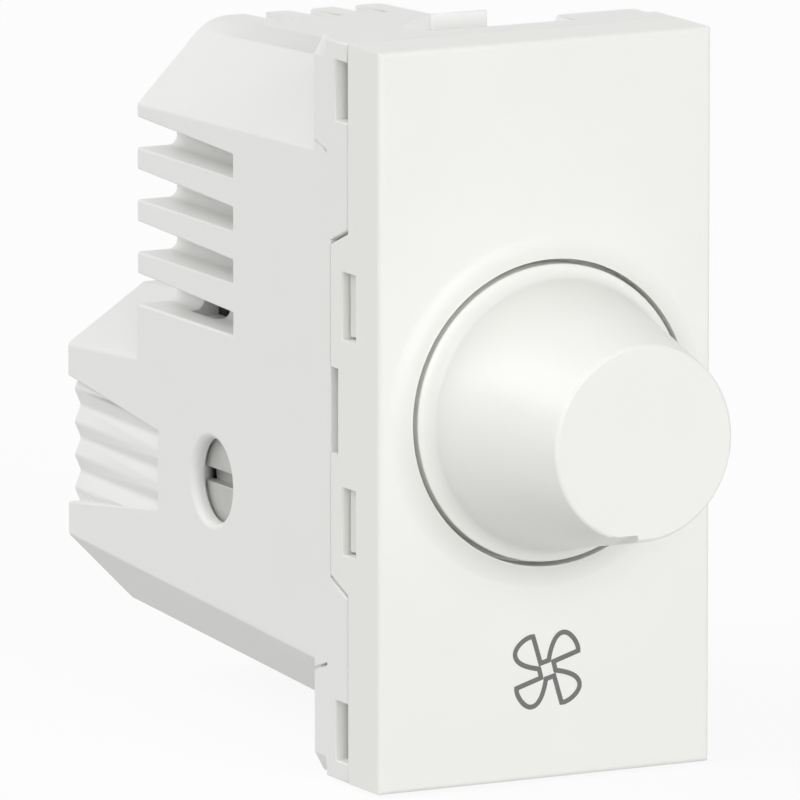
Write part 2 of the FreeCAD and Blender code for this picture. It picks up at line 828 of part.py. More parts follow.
def potentiometer_case():
    cup = rod_y(pot_radius, pot_front_y, board_front_y)
    room = rod_y(pot_radius - pot_wall, pot_front_y + pot_wall, board_front_y)
    bore = rod_y(shaft_radius + running_clearance, pot_front_y, board_front_y)
    return cup.cut([room, bore])


def pot_pin_spots():
    # The pins stand in a row under the axis
    return [(place, -pot_pin_ring) for place in in_a_row(pot_pin_count, pot_pin_pitch)]


def pin_blank(x, z, y0, y1, grow):
    half_wide = pot_pin_width / 2 + grow
    half_thick = pot_pin_thickness / 2 + grow
    return block(x - half_wide, x + half_wide, y0, y1, z - half_thick, z + half_thick)


def potentiometer_base():
    base = rod_y(pot_radius - pot_wall - pot_fit, pot_base_front_y, board_front_y)
    return base.cut([pin_blank(x, z, pot_base_front_y, board_front_y, pot_fit) for x, z in pot_pin_spots()])


def potentiometer_pins():
    return Part.makeCompound([pin_blank(x, z, pot_base_front_y, board_rear_y, 0)
                              for x, z in pot_pin_spots()])


def resistor_track():
    ring = rod_y(track_outer_radius, track_front_y, pot_base_front_y)
    ring = ring.cut(rod_y(track_inner_radius, track_front_y, pot_base_front_y))
    return ring.cut(ring_gap(track_outer_radius, track_front_y, pot_base_front_y, full_turn - track_angle))


def wiper_rotor():
    disc = rod_y(rotor_radius, rotor_front_y, rotor_rear_y)
    return disc.cut(rod_y(shaft_radius + hub_clearance, rotor_front_y, rotor_rear_y))


def wiper_contact():
    # Spring strip under the rotor with a finger that bends back to the track
    strip_rear_y = rotor_rear_y + contact_thickness
    middle = (track_inner_radius + track_outer_radius) / 2
    strip = block(-contact_finger_width / 2, contact_finger_width / 2, rotor_rear_y, strip_rear_y,
                  -track_outer_radius, -shaft_radius)
    tip_y = track_front_y - contact_gap
    bend = [(strip_rear_y - contact_thickness, -track_outer_radius), (strip_rear_y, -track_outer_radius),
            (tip_y, -middle), (tip_y - contact_thickness, -middle)]
    finger = prism_x(bend, -contact_finger_width / 2, contact_finger_width / 2)
    contact = joined([strip, finger])
    contact.rotate(vec(0, 0, 0), vec(0, 1, 0), contact_reach_angle)
    return contact


def bar_tail_height():
    return terminal_height - bar_tail_drop


def terminal_screw():
    # Right-hand terminal; the left one is its mirror image
    head = rod_x(screw_head_radius, screw_seat_x, screw_head_x, terminal_depth, terminal_height)
    slot = block(screw_head_x - screw_slot_depth, screw_head_x + slack, terminal_depth - screw_head_radius,
                 terminal_depth + screw_head_radius, terminal_height - screw_slot_width / 2,
                 terminal_height + screw_slot_width / 2)
    shank = rod_x(screw_radius, bar_outer_x, screw_seat_x, terminal_depth, terminal_height)
    return joined([head.cut(slot), shank])


def terminal_bar():
    half = bar_width / 2
    plate = block(bar_inner_x, bar_outer_x, bar_front, terminal_depth + bar_rear_overhang,
                  terminal_height - half, terminal_height + half)
    tail_half = bar_tail_width / 2
    tail = block(bar_inner_x, bar_outer_x, board_front_y, bar_front, bar_tail_height() - tail_half,
                 bar_tail_height() + tail_half)
    return joined([plate, tail])


def terminal_cage():
    # Box that the screw draws outwards, so that its floor lifts the wire against the bar
    wall_x = bar_outer_x + cage_bar_gap
    inner_half = bar_width / 2 + cage_side_clearance
    outer_half = inner_half + cage_side_wall
    front = terminal_depth - cage_length / 2
    rear = terminal_depth + cage_length / 2
    outside = block(cage_floor_x - cage_floor, wall_x + cage_wall, front, rear, terminal_height - outer_half,
                    terminal_height + outer_half)
    inside = block(cage_floor_x, wall_x, front, rear, terminal_height - inner_half,
                   terminal_height + inner_half)
    thread = rod_x(screw_radius + running_clearance, wall_x, wall_x + cage_wall, terminal_depth,
                   terminal_height)
    return outside.cut([inside, thread])


def triac_lead_height():
    return sink_underside - triac_tab_thickness - triac_lead_thickness


def triac_lead_spots():
    return [(place, triac_lead_height()) for place in in_a_row(triac_lead_count, triac_lead_pitch)]


def big_capacitor_spots():
    half = big_capacitor_lead_pitch / 2
    return [(-half, big_capacitor_centre), (half, big_capacitor_centre)]


def small_capacitor_spots():
    half = small_capacitor_lead_pitch / 2
    return [(-half, small_capacitor_centre), (half, small_capacitor_centre)]


def choke_lead_spots():
    middle = (choke_inner_radius + choke_outer_radius) / 2
    return [(-middle, choke_centre), (middle, choke_centre)]


def resistor_lead_spots():
    half = resistor_lead_span / 2
    return [(side * resistor_offset, end * half) for side in (-1, 1) for end in (-1, 1)]


def diac_lead_spots():
    half = diac_lead_span / 2
    return [(-diac_offset, diac_centre - half), (-diac_offset, diac_centre + half)]


def circuit_board():
    board = prism_y(front_room_outline(board_clearance), board_front_y, board_rear_y)
    spots = big_capacitor_spots() + small_capacitor_spots() + choke_lead_spots()
    spots += resistor_lead_spots() + diac_lead_spots() + fuse_clip_spots()
    hole_width = lead_width + 2 * lead_clearance
    holes = [post(x, z, hole_width, board_front_y, board_rear_y) for x, z in spots]
    holes += [pin_blank(x, z, board_front_y, board_rear_y, lead_clearance) for x, z in pot_pin_spots()]
    for x, z in triac_lead_spots():
        half_wide = triac_lead_width / 2 + lead_clearance
        half_thick = triac_lead_thickness / 2 + lead_clearance
        holes.append(block(x - half_wide, x + half_wide, board_front_y, board_rear_y, z - half_thick,
                           z + half_thick))
    tail_half = bar_tail_width / 2 + lead_clearance
    slot = block(bar_inner_x - lead_clearance, bar_outer_x + lead_clearance, board_front_y, board_rear_y,
                 bar_tail_height() - tail_half, bar_tail_height() + tail_half)
    holes += both_sides(slot)
    return board.cut(holes)


def heat_sink():
    # Plate that stands on the board, with low cooling fins along its upper side
    rear = sink_rear_y
    plate = block(-sink_half_width, sink_half_width, board_rear_y, rear, sink_underside,
                  sink_underside + sink_thickness)
    plate_top = sink_underside + sink_thickness
    half = sink_fin_thickness / 2
    fins = [block(centre - half, centre + half, board_rear_y, rear, plate_top, plate_top + sink_fin_height)
            for centre in in_a_row(sink_fin_count, sink_fin_pitch)]
    hole = rod_z(triac_screw_radius + triac_screw_clearance, sink_underside, plate_top + sink_fin_height, 0,
                 triac_bolt_y)
    return joined([plate] + fins).cut(hole)


def triac_tab():
    # Metal tab and the three leads of the power switch
    tab = block(-triac_width / 2, triac_width / 2, triac_tab_front_y, triac_rear_y,
                sink_underside - triac_tab_thickness, sink_underside)
    tab = tab.cut(rod_z(triac_screw_radius + triac_screw_clearance, sink_underside - triac_tab_thickness,
                        sink_underside, 0, triac_bolt_y))
    leads = []
    for x, z in triac_lead_spots():
        leads.append(block(x - triac_lead_width / 2, x + triac_lead_width / 2, board_front_y, triac_front_y,
                           z - triac_lead_thickness / 2, z + triac_lead_thickness / 2))
    return Part.makeCompound([tab] + leads)


def triac_case():
    case = block(-triac_width / 2, triac_width / 2, triac_front_y, triac_tab_front_y,
                 sink_underside - triac_case_thickness, sink_underside)
    lower = straight_edges_along(case, vec(0, 1, 0),
                                 lambda middle: middle.z < sink_underside - triac_tab_thickness)
    return case.makeChamfer(case_edge_chamfer, lower)


def triac_screw():
    tab_under = sink_underside - triac_tab_thickness
    head = rod_z(triac_screw_head_radius, tab_under - triac_screw_head_height, tab_under, 0, triac_bolt_y)
    shank = rod_z(triac_screw_radius, tab_under, sink_underside + sink_thickness, 0, triac_bolt_y)
    return joined([head, shank])


def choke_front_y():
    return board_rear_y + choke_stand_off


def choke_core():
    rear = choke_front_y() + choke_length
    ring = rod_y(choke_outer_radius, choke_front_y(), rear, 0, choke_centre)
    return ring.cut(rod_y(choke_inner_radius, choke_front_y(), rear, 0, choke_centre))


def choke_turn():
    # One turn of wire round the ring's section, at the three o'clock place
    gap = choke_wire_gap
    thick = 2 * choke_wire_radius
    rear = choke_front_y() + choke_length
    outside = block(choke_inner_radius - gap - thick, choke_outer_radius + gap + thick,
                    choke_front_y() - gap - thick, rear + gap + thick, -choke_wire_radius, choke_wire_radius)
    inside = block(choke_inner_radius - gap, choke_outer_radius + gap, choke_front_y() - gap, rear + gap,
                   -choke_wire_radius, choke_wire_radius)
    return outside.cut(inside)


def choke_winding():
    # Turns spread over the ring, with a lead at each side into the board
    turns = []
    for index in range(choke_turns):
        turn = choke_turn()
        turn.rotate(vec(0, 0, 0), vec(0, 1, 0), (2 * index + 1) * full_turn / choke_turns / 2)
        turn.translate(vec(0, 0, choke_centre))
        turns.append(turn)
    lead_rear = choke_front_y() - choke_wire_gap - 2 * choke_wire_radius
    leads = [post(x, z, lead_width, board_front_y, lead_rear) for x, z in choke_lead_spots()]
    return Part.makeCompound(turns + leads)


def capacitor(width, height, depth, centre, spots):
    # Box capacitor that stands on the board with its two leads
    box = block(-width / 2, width / 2, board_rear_y, board_rear_y + depth, centre - height / 2,
                centre + height / 2)
    outer = [edge for edge in box.Edges if edge.CenterOfMass.y > board_rear_y + seam_gap]
    leads = [post(x, z, lead_width, board_front_y, board_rear_y) for x, z in spots]
    return joined([box.makeChamfer(case_edge_chamfer, outer)] + leads)


def suppression_capacitor():
    return capacitor(big_capacitor_width, big_capacitor_height, big_capacitor_depth, big_capacitor_centre,
                     big_capacitor_spots())


def timing_capacitor():
    return capacitor(small_capacitor_width, small_capacitor_height, small_capacitor_depth,
                     small_capacitor_centre, small_capacitor_spots())


def resistor_axis_y():
    return board_rear_y + resistor_radius + resistor_stand_off


def bent_outline(end, span, axis_y):
    # Outline, in the plane of the bend, of a lead that leaves a body's end and turns into the board
    half = resistor_lead_width / 2
    return [(end, axis_y - half), (end, axis_y + half), (span + half, axis_y + half),
            (span + half, board_front_y), (span - half, board_front_y), (span - half, axis_y - half)]


def resistor_bodies():
    # One upright resistor at each side of the choke
    half = resistor_length / 2
    body = rod_z(resistor_radius, -half, half, resistor_offset, resistor_axis_y())
    return Part.makeCompound(both_sides(body))


def resistor_leads():
    outline = bent_outline(resistor_length / 2, resistor_lead_span / 2, resistor_axis_y())
    half = resistor_lead_width / 2
    lead = prism_x([(y, z) for z, y in outline], resistor_offset - half, resistor_offset + half)
    return Part.makeCompound(four_corners(lead))


def diac():
    # Trigger diode, upright above the left resistor
    axis_y = board_rear_y + diac_radius + resistor_stand_off
    body = rod_z(diac_radius, -diac_length / 2, diac_length / 2, -diac_offset, axis_y)
    outline = bent_outline(diac_length / 2, diac_lead_span / 2, axis_y)
    half = resistor_lead_width / 2
    lead = prism_x([(y, z) for z, y in outline], -diac_offset - half, half - diac_offset)
    whole = joined([body, lead, mirrored_z(lead)])
    whole.translate(vec(0, 0, diac_centre))
    return whole


def fuse_axis_y():
    return board_rear_y + fuse_stand_off + fuse_radius


def fuse_cap_middle():
    return fuse_length / 2 - fuse_cap_length / 2


def fuse_clip_spots():
    return [(-fuse_cap_middle(), fuse_height), (fuse_cap_middle(), fuse_height)]


def fuse_tube():
    half = fuse_length / 2 - fuse_cap_length
    return rod_x(fuse_radius - fuse_tube_step, -half, half, fuse_axis_y(), fuse_height)


def fuse_caps():
    half = fuse_length / 2
    cap = rod_x(fuse_radius, half - fuse_cap_length, half, fuse_axis_y(), fuse_height)
    return Part.makeCompound(both_sides(cap))


def fuse_clips():
    # Spring forks on the board that hold the fuse's caps
    middle = fuse_cap_middle()
    half = clip_strip_width / 2
    reach = fuse_radius + clip_clearance
    seat_y = fuse_axis_y() - reach
    outside = block(middle - half, middle + half, seat_y - clip_strip_thickness, fuse_axis_y() + clip_mouth,
                    fuse_height - reach - clip_strip_thickness, fuse_height + reach + clip_strip_thickness)
    inside = block(middle - half, middle + half, seat_y, fuse_axis_y() + clip_mouth, fuse_height - reach,
                   fuse_height + reach)
    lead = post(middle, fuse_height, lead_width, board_front_y, seat_y - clip_strip_thickness)
    return Part.makeCompound(both_sides(joined([outside.cut(inside), lead])))


pieces = {
    "front_cover": front_cover(),
    "rear_housing": rear_housing(),
    "knob": knob(),
    "knob_clip": knob_clip(),
    "control_shaft": control_shaft(),
    "shaft_bushing": shaft_bushing(),
    "potentiometer_case": potentiometer_case(),
    "potentiometer_base": potentiometer_base(),
    "potentiometer_pins": potentiometer_pins(),
    "resistor_track": resistor_track(),
    "wiper_rotor": wiper_rotor(),
    "wiper_contact": wiper_contact(),
    "circuit_board": circuit_board(),
    "heat_sink": heat_sink(),
    "triac_case": triac_case(),
    "triac_tab": triac_tab(),
    "triac_screw": triac_screw(),
    "choke_core": choke_core(),
    "choke_winding": choke_winding(),
    "suppression_capacitor": suppression_capacitor(),
    "timing_capacitor": timing_capacitor(),
    "resistor_bodies": resistor_bodies(),
    "resistor_leads": resistor_leads(),
    "diac": diac(),
    "fuse_tube": fuse_tube(),
    "fuse_caps": fuse_caps(),
    "fuse_clips": fuse_clips(),
    "right_terminal_screw": terminal_screw(),
    "right_terminal_bar": terminal_bar(),
    "right_terminal_cage": terminal_cage(),
    "left_terminal_screw": mirrored_x(terminal_screw()),
    "left_terminal_bar": mirrored_x(terminal_bar()),
    "left_terminal_cage": mirrored_x(terminal_cage()),
}

os.makedirs("parts", exist_ok=True)
for name, shape in pieces.items():
    shape.exportStep("parts/" + name + ".step")
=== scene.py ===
import math
import bmesh
import bpy
from mathutils import Matrix, Vector
from mathutils.bvhtree import BVHTree
from mathutils.geometry import interpolate_bezier


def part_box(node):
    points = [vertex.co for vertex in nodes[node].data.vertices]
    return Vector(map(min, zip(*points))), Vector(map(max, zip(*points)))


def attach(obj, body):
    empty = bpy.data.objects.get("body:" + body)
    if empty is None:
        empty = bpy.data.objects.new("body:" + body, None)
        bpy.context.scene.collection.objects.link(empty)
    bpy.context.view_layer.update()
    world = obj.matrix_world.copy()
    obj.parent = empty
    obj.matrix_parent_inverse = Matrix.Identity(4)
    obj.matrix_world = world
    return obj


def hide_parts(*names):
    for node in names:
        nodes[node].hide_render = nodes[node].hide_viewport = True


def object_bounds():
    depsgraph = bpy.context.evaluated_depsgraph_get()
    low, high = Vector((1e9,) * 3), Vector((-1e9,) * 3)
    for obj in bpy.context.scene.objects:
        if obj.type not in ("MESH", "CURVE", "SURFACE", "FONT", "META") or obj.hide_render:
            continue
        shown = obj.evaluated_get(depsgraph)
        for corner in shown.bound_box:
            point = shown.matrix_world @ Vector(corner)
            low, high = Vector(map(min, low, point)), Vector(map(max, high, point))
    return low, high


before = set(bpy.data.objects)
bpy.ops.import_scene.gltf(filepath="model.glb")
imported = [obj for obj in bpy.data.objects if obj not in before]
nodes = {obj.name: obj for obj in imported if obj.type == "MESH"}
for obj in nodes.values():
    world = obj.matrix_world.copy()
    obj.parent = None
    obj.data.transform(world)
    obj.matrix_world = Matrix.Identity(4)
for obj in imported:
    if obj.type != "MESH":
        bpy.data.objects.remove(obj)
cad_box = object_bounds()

# Rear housing
# One white thermoplastic moulding: flange, snap hooks, bevelled body and the lower block for the terminals.
# Its outer edges keep the small round that the mould leaves, and its surface a fine spark-eroded texture.
mm = 0.001
housing_edge = 0.14 * mm
housing_colour = (0.86, 0.86, 0.845)
merge_distance = 0.002 * mm
flat_angle = math.radians(0.6)
corner_angle = math.radians(35)
shading_angle = math.radians(30)
least_sine = 1e-6


def new_finish(name):
    # A material with its shader and the piece's own coordinates
    material = bpy.data.materials.new(name)
    material.use_nodes = True
    tree = material.node_tree
    shader = tree.nodes["Principled BSDF"]
    coordinates = tree.nodes.new("ShaderNodeTexCoord").outputs["Object"]
    return material, tree, shader, coordinates


def grain(tree, coordinates, grain_size, detail=3):
    # Noise whose spots are about grain_size across
    noise = tree.nodes.new("ShaderNodeTexNoise")
    noise.inputs["Scale"].default_value = 1 / grain_size
    noise.inputs["Detail"].default_value = detail
    tree.links.new(coordinates, noise.inputs["Vector"])
    return noise.outputs["Fac"]


def spread(tree, source, low, high):
    # The middle of a noise's range spread between two values
    spreader = tree.nodes.new("ShaderNodeMapRange")
    spreader.inputs["From Min"].default_value = 0.3
    spreader.inputs["From Max"].default_value = 0.7
    spreader.inputs["To Min"].default_value = low
    spreader.inputs["To Max"].default_value = high
    tree.links.new(source, spreader.inputs["Value"])
    return spreader.outputs["Result"]


def tinted(tree, source, colour, shade):
    # The colour and a darker shade of it, mixed by a noise
    mix = tree.nodes.new("ShaderNodeMix")
    mix.data_type = "RGBA"
    mix.inputs["A"].default_value = (*colour, 1)
    mix.inputs["B"].default_value = (*[part * shade for part in colour], 1)
    tree.links.new(spread(tree, source, 0, 1), mix.inputs["Factor"])
    return mix.outputs["Result"]


def roughened(tree, shader, height, depth):
    # Fine relief on the surface
    bump = tree.nodes.new("ShaderNodeBump")
    bump.inputs["Distance"].default_value = depth
    bump.inputs["Strength"].default_value = 1
    tree.links.new(height, bump.inputs["Height"])
    tree.links.new(bump.outputs["Normal"], shader.inputs["Normal"])


def moulded_plastic(name, colour, roughness, texture_depth):
    # Faint flow marks in the colour, and the texture of the mould
    material, tree, shader, coordinates = new_finish(name)
    flow = grain(tree, coordinates, 6 * mm)
    texture = grain(tree, coordinates, 0.12 * mm)
    tree.links.new(tinted(tree, flow, colour, 0.985), shader.inputs["Base Color"])
    tree.links.new(spread(tree, texture, roughness - 0.05, roughness + 0.05), shader.inputs["Roughness"])
    roughened(tree, shader, texture, texture_depth)
    return material


def has_room(seam, corners, edge):
    # Whether a round along this corner stays on the faces beside it, at both of its ends
    for end in seam.verts:
        along = seam.other_vert(end).co - end.co
        for face in seam.link_faces:
            beside = next(other for other in end.link_edges if other != seam and face in other.link_faces)
            far_end = beside.other_vert(end)
            opening = along.angle(far_end.co - end.co)
            if beside in corners:
                reach = edge / math.tan(opening / 2)
            else:
                reach = edge / max(math.sin(opening), least_sine)
            shared = beside in corners or any(other in corners for other in far_end.link_edges)
            room = beside.calc_length() / 2 if shared else beside.calc_length()
            if reach > min(room, seam.calc_length() / 2 + edge):
                return False
    return True


def softened(node, name, edge):
    # A node's own form with its sharp outer corners rounded off, where the faces beside them leave room
    shape = bmesh.new()
    shape.from_mesh(nodes[node].data)
    bmesh.ops.remove_doubles(shape, verts=shape.verts, dist=merge_distance)
    bmesh.ops.dissolve_limit(shape, angle_limit=flat_angle, verts=shape.verts, edges=shape.edges)
    corners = {seam for seam in shape.edges
               if seam.is_manifold and seam.calc_face_angle_signed() > corner_angle}
    roomy = {seam for seam in corners if has_room(seam, corners, edge)}
    while len(roomy) < len(corners):
        corners = roomy
        roomy = {seam for seam in corners if has_room(seam, corners, edge)}
    bmesh.ops.bevel(shape, geom=list(roomy), offset=edge, offset_type="OFFSET", segments=2, profile=0.5,
                    affect="EDGES", clamp_overlap=False, material=-1)
    return finished(shape, name)


def finished(shape, name):
    # Makes the object, smooth over its rounds
    mesh = bpy.data.meshes.new(name)
    shape.to_mesh(mesh)
    shape.free()
    mesh.shade_smooth()
    mesh.set_sharp_from_angle(angle=shading_angle)
    piece = bpy.data.objects.new(name, mesh)
    bpy.context.scene.collection.objects.link(piece)
    weighted = piece.modifiers.new("even shading", "WEIGHTED_NORMAL")
    weighted.keep_sharp = True
    return piece


def dress(piece, material):
    # The one finish that a piece has all over
    piece.data.materials.clear()
    piece.data.materials.append(material)


housing = softened("rear_housing", "rear_housing_moulding", housing_edge)
dress(housing, moulded_plastic("housing plastic", housing_colour, roughness=0.46, texture_depth=0.0035 * mm))
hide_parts("rear_housing")
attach(housing, "base")

# Terminals
# A zinc-plated screw on each side lifts a nickel-plated cage, which clamps the wire to a brass bar.
# The bars run forward to the circuit board.
screw_edge = 0.12 * mm


def plated_metal(name, colour, roughness, scratch_size=0.1 * mm, metallic=1):
    # Patches in the plating, and fine scratches
    material, tree, shader, coordinates = new_finish(name)
    patches = grain(tree, coordinates, 4 * mm)
    scratches = grain(tree, coordinates, scratch_size, detail=6)
    shader.inputs["Metallic"].default_value = metallic
    tree.links.new(tinted(tree, patches, colour, 0.85), shader.inputs["Base Color"])
    tree.links.new(spread(tree, scratches, roughness - 0.08, roughness + 0.1), shader.inputs["Roughness"])
    roughened(tree, shader, scratches, 0.004 * mm)
    return material


screw_steel = plated_metal("zinc plated steel", (0.6, 0.6, 0.58), roughness=0.5, metallic=0.5)
nickel_plate = plated_metal("nickel plate", (0.7, 0.67, 0.62), roughness=0.28)
terminal_brass = plated_metal("terminal brass", (0.75, 0.58, 0.28), roughness=0.3)
for side in ("left", "right"):
    screw = softened(side + "_terminal_screw", side + "_clamp_screw", screw_edge)
    dress(screw, screw_steel)
    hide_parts(side + "_terminal_screw")
    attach(screw, side + "_screw")
    dress(nodes[side + "_terminal_cage"], nickel_plate)
    dress(nodes[side + "_terminal_bar"], terminal_brass)

# Circuit board
# Paper-phenolic laminate with square punched holes. It rests on ledges inside the housing
# and carries everything but the terminals' screws and cages.


def laminate(name, colour):
    # Stained paper fibres under resin
    material, tree, shader, coordinates = new_finish(name)
    fibres = grain(tree, coordinates, 0.25 * mm, detail=8)
    stains = grain(tree, coordinates, 5 * mm)
    tree.links.new(tinted(tree, stains, colour, 0.8), shader.inputs["Base Color"])
    tree.links.new(spread(tree, fibres, 0.4, 0.62), shader.inputs["Roughness"])
    roughened(tree, shader, fibres, 0.01 * mm)
    return material


dress(nodes["circuit_board"], laminate("board laminate", (0.42, 0.25, 0.1)))

# Board parts
# Film capacitors in boxes, a ferrite choke wound with enamelled wire, two resistors, a trigger diode
# and a ceramic fuse in spring clips, all soldered through the board by tinned leads.


def matt_body(name, colour, roughness, speck_size):
    # A dull surface with darker specks, as on ceramic, lacquer and ink
    material, tree, shader, coordinates = new_finish(name)
    specks = grain(tree, coordinates, speck_size, detail=5)
    tree.links.new(tinted(tree, specks, colour, 0.78), shader.inputs["Base Color"])
    tree.links.new(spread(tree, specks, roughness - 0.1, roughness + 0.1), shader.inputs["Roughness"])
    roughened(tree, shader, specks, 0.008 * mm)
    return material


def enamelled_wire(name, colour):
    # Metal under a clear coat of enamel
    material, tree, shader, coordinates = new_finish(name)
    patches = grain(tree, coordinates, 1.5 * mm)
    shader.inputs["Metallic"].default_value = 0.8
    shader.inputs["Coat Weight"].default_value = 0.7
    shader.inputs["Coat Roughness"].default_value = 0.15
    tree.links.new(tinted(tree, patches, colour, 0.7), shader.inputs["Base Color"])
    tree.links.new(spread(tree, patches, 0.22, 0.38), shader.inputs["Roughness"])
    return material


tinned_wire = plated_metal("tinned wire", (0.68, 0.68, 0.67), roughness=0.32)
yellow_box = moulded_plastic("yellow capacitor box", (0.72, 0.5, 0.06), roughness=0.42,
                             texture_depth=0.004 * mm)
red_dip = moulded_plastic("red capacitor dip", (0.45, 0.06, 0.03), roughness=0.3, texture_depth=0.006 * mm)
ferrite = matt_body("ferrite", (0.06, 0.06, 0.065), roughness=0.6, speck_size=0.2 * mm)
resistor_lacquer = matt_body("resistor lacquer", (0.62, 0.5, 0.33), roughness=0.4, speck_size=0.4 * mm)
diode_lacquer = matt_body("trigger diode lacquer", (0.05, 0.13, 0.4), roughness=0.35, speck_size=0.3 * mm)
fuse_ceramic = matt_body("fuse ceramic", (0.78, 0.76, 0.7), roughness=0.5, speck_size=0.15 * mm)
dress(nodes["suppression_capacitor"], yellow_box)
dress(nodes["timing_capacitor"], red_dip)
dress(nodes["choke_core"], ferrite)
dress(nodes["choke_winding"], enamelled_wire("enamelled copper", (0.66, 0.25, 0.08)))
dress(nodes["resistor_bodies"], resistor_lacquer)
dress(nodes["resistor_leads"], tinned_wire)
dress(nodes["diac"], diode_lacquer)
dress(nodes["fuse_tube"], fuse_ceramic)
dress(nodes["fuse_caps"], nickel_plate)
dress(nodes["fuse_clips"], nickel_plate)

# Power switch
# A triac with its copper tab screwed under a finned aluminium plate near the top of the housing,
# behind the cooling grooves.
sink_metal = plated_metal("extruded aluminium", (0.72, 0.73, 0.74), roughness=0.38, scratch_size=0.24 * mm)
black_epoxy = matt_body("black epoxy", (0.02, 0.02, 0.022), roughness=0.5, speck_size=0.12 * mm)
dress(nodes["heat_sink"], sink_metal)
dress(nodes["triac_case"], black_epoxy)
dress(nodes["triac_tab"], plated_metal("tab copper", (0.7, 0.42, 0.28), roughness=0.35))
dress(nodes["triac_screw"], screw_steel)

# Potentiometer
# A steel case with a turned brass bushing holds the phenolic base, its carbon track and three pins.
# A nylon rotor on the shaft carries the bronze wiper.
bushing_brass = plated_metal("bushing brass", (0.72, 0.55, 0.27), roughness=0.27, scratch_size=0.06 * mm)
carbon = matt_body("carbon track", (0.03, 0.03, 0.03), roughness=0.55, speck_size=0.08 * mm)
rotor_nylon = moulded_plastic("rotor nylon", (0.68, 0.66, 0.6), roughness=0.5, texture_depth=0.006 * mm)
shaft_nylon = moulded_plastic("shaft nylon", (0.7, 0.69, 0.66), roughness=0.45, texture_depth=0.005 * mm)
dress(nodes["potentiometer_case"], plated_metal("case steel", (0.55, 0.55, 0.54), roughness=0.36))
dress(nodes["shaft_bushing"], bushing_brass)
dress(nodes["potentiometer_base"], laminate("brown phenolic", (0.26, 0.12, 0.05)))
dress(nodes["potentiometer_pins"], tinned_wire)
dress(nodes["resistor_track"], carbon)
dress(nodes["wiper_rotor"], rotor_nylon)
dress(nodes["wiper_contact"], plated_metal("contact bronze", (0.66, 0.46, 0.28), roughness=0.3))
dress(nodes["control_shaft"], shaft_nylon)

# Front cover
# White moulded cap with a smooth satin face, a raised collar round the knob and two side tabs
# whose windows snap over the housing's hooks.
cover_edge = 0.09 * mm
cover_colour = (0.865, 0.865, 0.835)
cover = softened("front_cover", "front_cover_moulding", cover_edge)
dress(cover, moulded_plastic("cover plastic", cover_colour, roughness=0.4, texture_depth=0.002 * mm))
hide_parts("front_cover")
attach(cover, "base")

# Fan symbol
# Four outlined blades joined round an open hub by one line, pad-printed in grey ink below the knob.
# Each blade runs out from the hub, over its round end to a corner and straight back.
symbol_side = 0.12 * mm
symbol_height = -15.81 * mm
ink_line = 0.3 * mm
ink_rise = 0.012 * mm
ink_bite = 0.03 * mm
ink_colour = (0.17, 0.17, 0.165)
blade_count = 4
round_steps = 14
# The first blade's points and the aims of its curves, in millimetres from the middle of the hub
hub_start = Vector((0.09, 0, 0.56))
rising_aim = Vector((0.25, 0, 1.45))
round_in = Vector((0.55, 0, 2.2))
round_top = Vector((1.12, 0, 2.2))
round_out = Vector((1.6, 0, 2.2))
falling_aim = Vector((2.15, 0, 1.4))
blade_corner = Vector((2.1, 0, 0.97))
hub_end = Vector((0.42, 0, 0.46))
rising_side = interpolate_bezier(hub_start, rising_aim, round_in, round_top, round_steps)
falling_side = interpolate_bezier(round_top, round_out, falling_aim, blade_corner, round_steps)
symbol = bmesh.new()
outline = []
for index in range(blade_count):
    turn = Matrix.Rotation(index * 2 * math.pi / blade_count, 3, "Y")
    for point in rising_side + falling_side[1:] + [hub_end]:
        outline.append(symbol.verts.new(turn @ point * mm))
filled = symbol.faces.new(outline)
symbol.normal_update()
# The outline becomes a line: half its width outwards, then the full width back in
edging = bmesh.ops.inset_individual(symbol, faces=[filled], thickness=-ink_line / 2, use_even_offset=True)
bmesh.ops.delete(symbol, geom=edging["faces"], context="FACES")
bmesh.ops.inset_individual(symbol, faces=[filled], thickness=ink_line, use_even_offset=True)
bmesh.ops.delete(symbol, geom=[filled], context="FACES")
pushed = bmesh.ops.extrude_face_region(symbol, geom=symbol.faces[:], use_keep_orig=True)["geom"]
bmesh.ops.translate(symbol, vec=(0, -ink_rise - ink_bite, 0),
                    verts=[part for part in pushed if isinstance(part, bmesh.types.BMVert)])
# The place on the cover's face, behind the plane of the collar's rim
cover_form = nodes["front_cover"].data
cover_surface = BVHTree.FromPolygons([corner.co for corner in cover_form.vertices],
                                     [list(face.vertices) for face in cover_form.polygons])
before_face = Vector((symbol_side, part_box("front_cover")[0][1], symbol_height))
symbol_centre = cover_surface.ray_cast(before_face, Vector((0, 1, 0)))[0]
bmesh.ops.translate(symbol, vec=symbol_centre + Vector((0, ink_bite, 0)), verts=symbol.verts)
bmesh.ops.recalc_face_normals(symbol, faces=symbol.faces)
fan_symbol = finished(symbol, "fan_symbol")
dress(fan_symbol, matt_body("grey ink", ink_colour, roughness=0.55, speck_size=0.08 * mm))
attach(fan_symbol, "base")

# Knob
# Conical moulded knob with a flared foot that turns in the collar and a pointer nick at its tip.
# A spring steel ring grips its split hub on the shaft.
knob_edge = 0.07 * mm
knob_colour = (0.885, 0.885, 0.855)
knob_piece = softened("knob", "knob_moulding", knob_edge)
dress(knob_piece, moulded_plastic("knob plastic", knob_colour, roughness=0.335, texture_depth=0.0004 * mm))
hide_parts("knob")
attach(knob_piece, "control")
dress(nodes["knob_clip"], plated_metal("spring steel", (0.5, 0.5, 0.5), roughness=0.3))

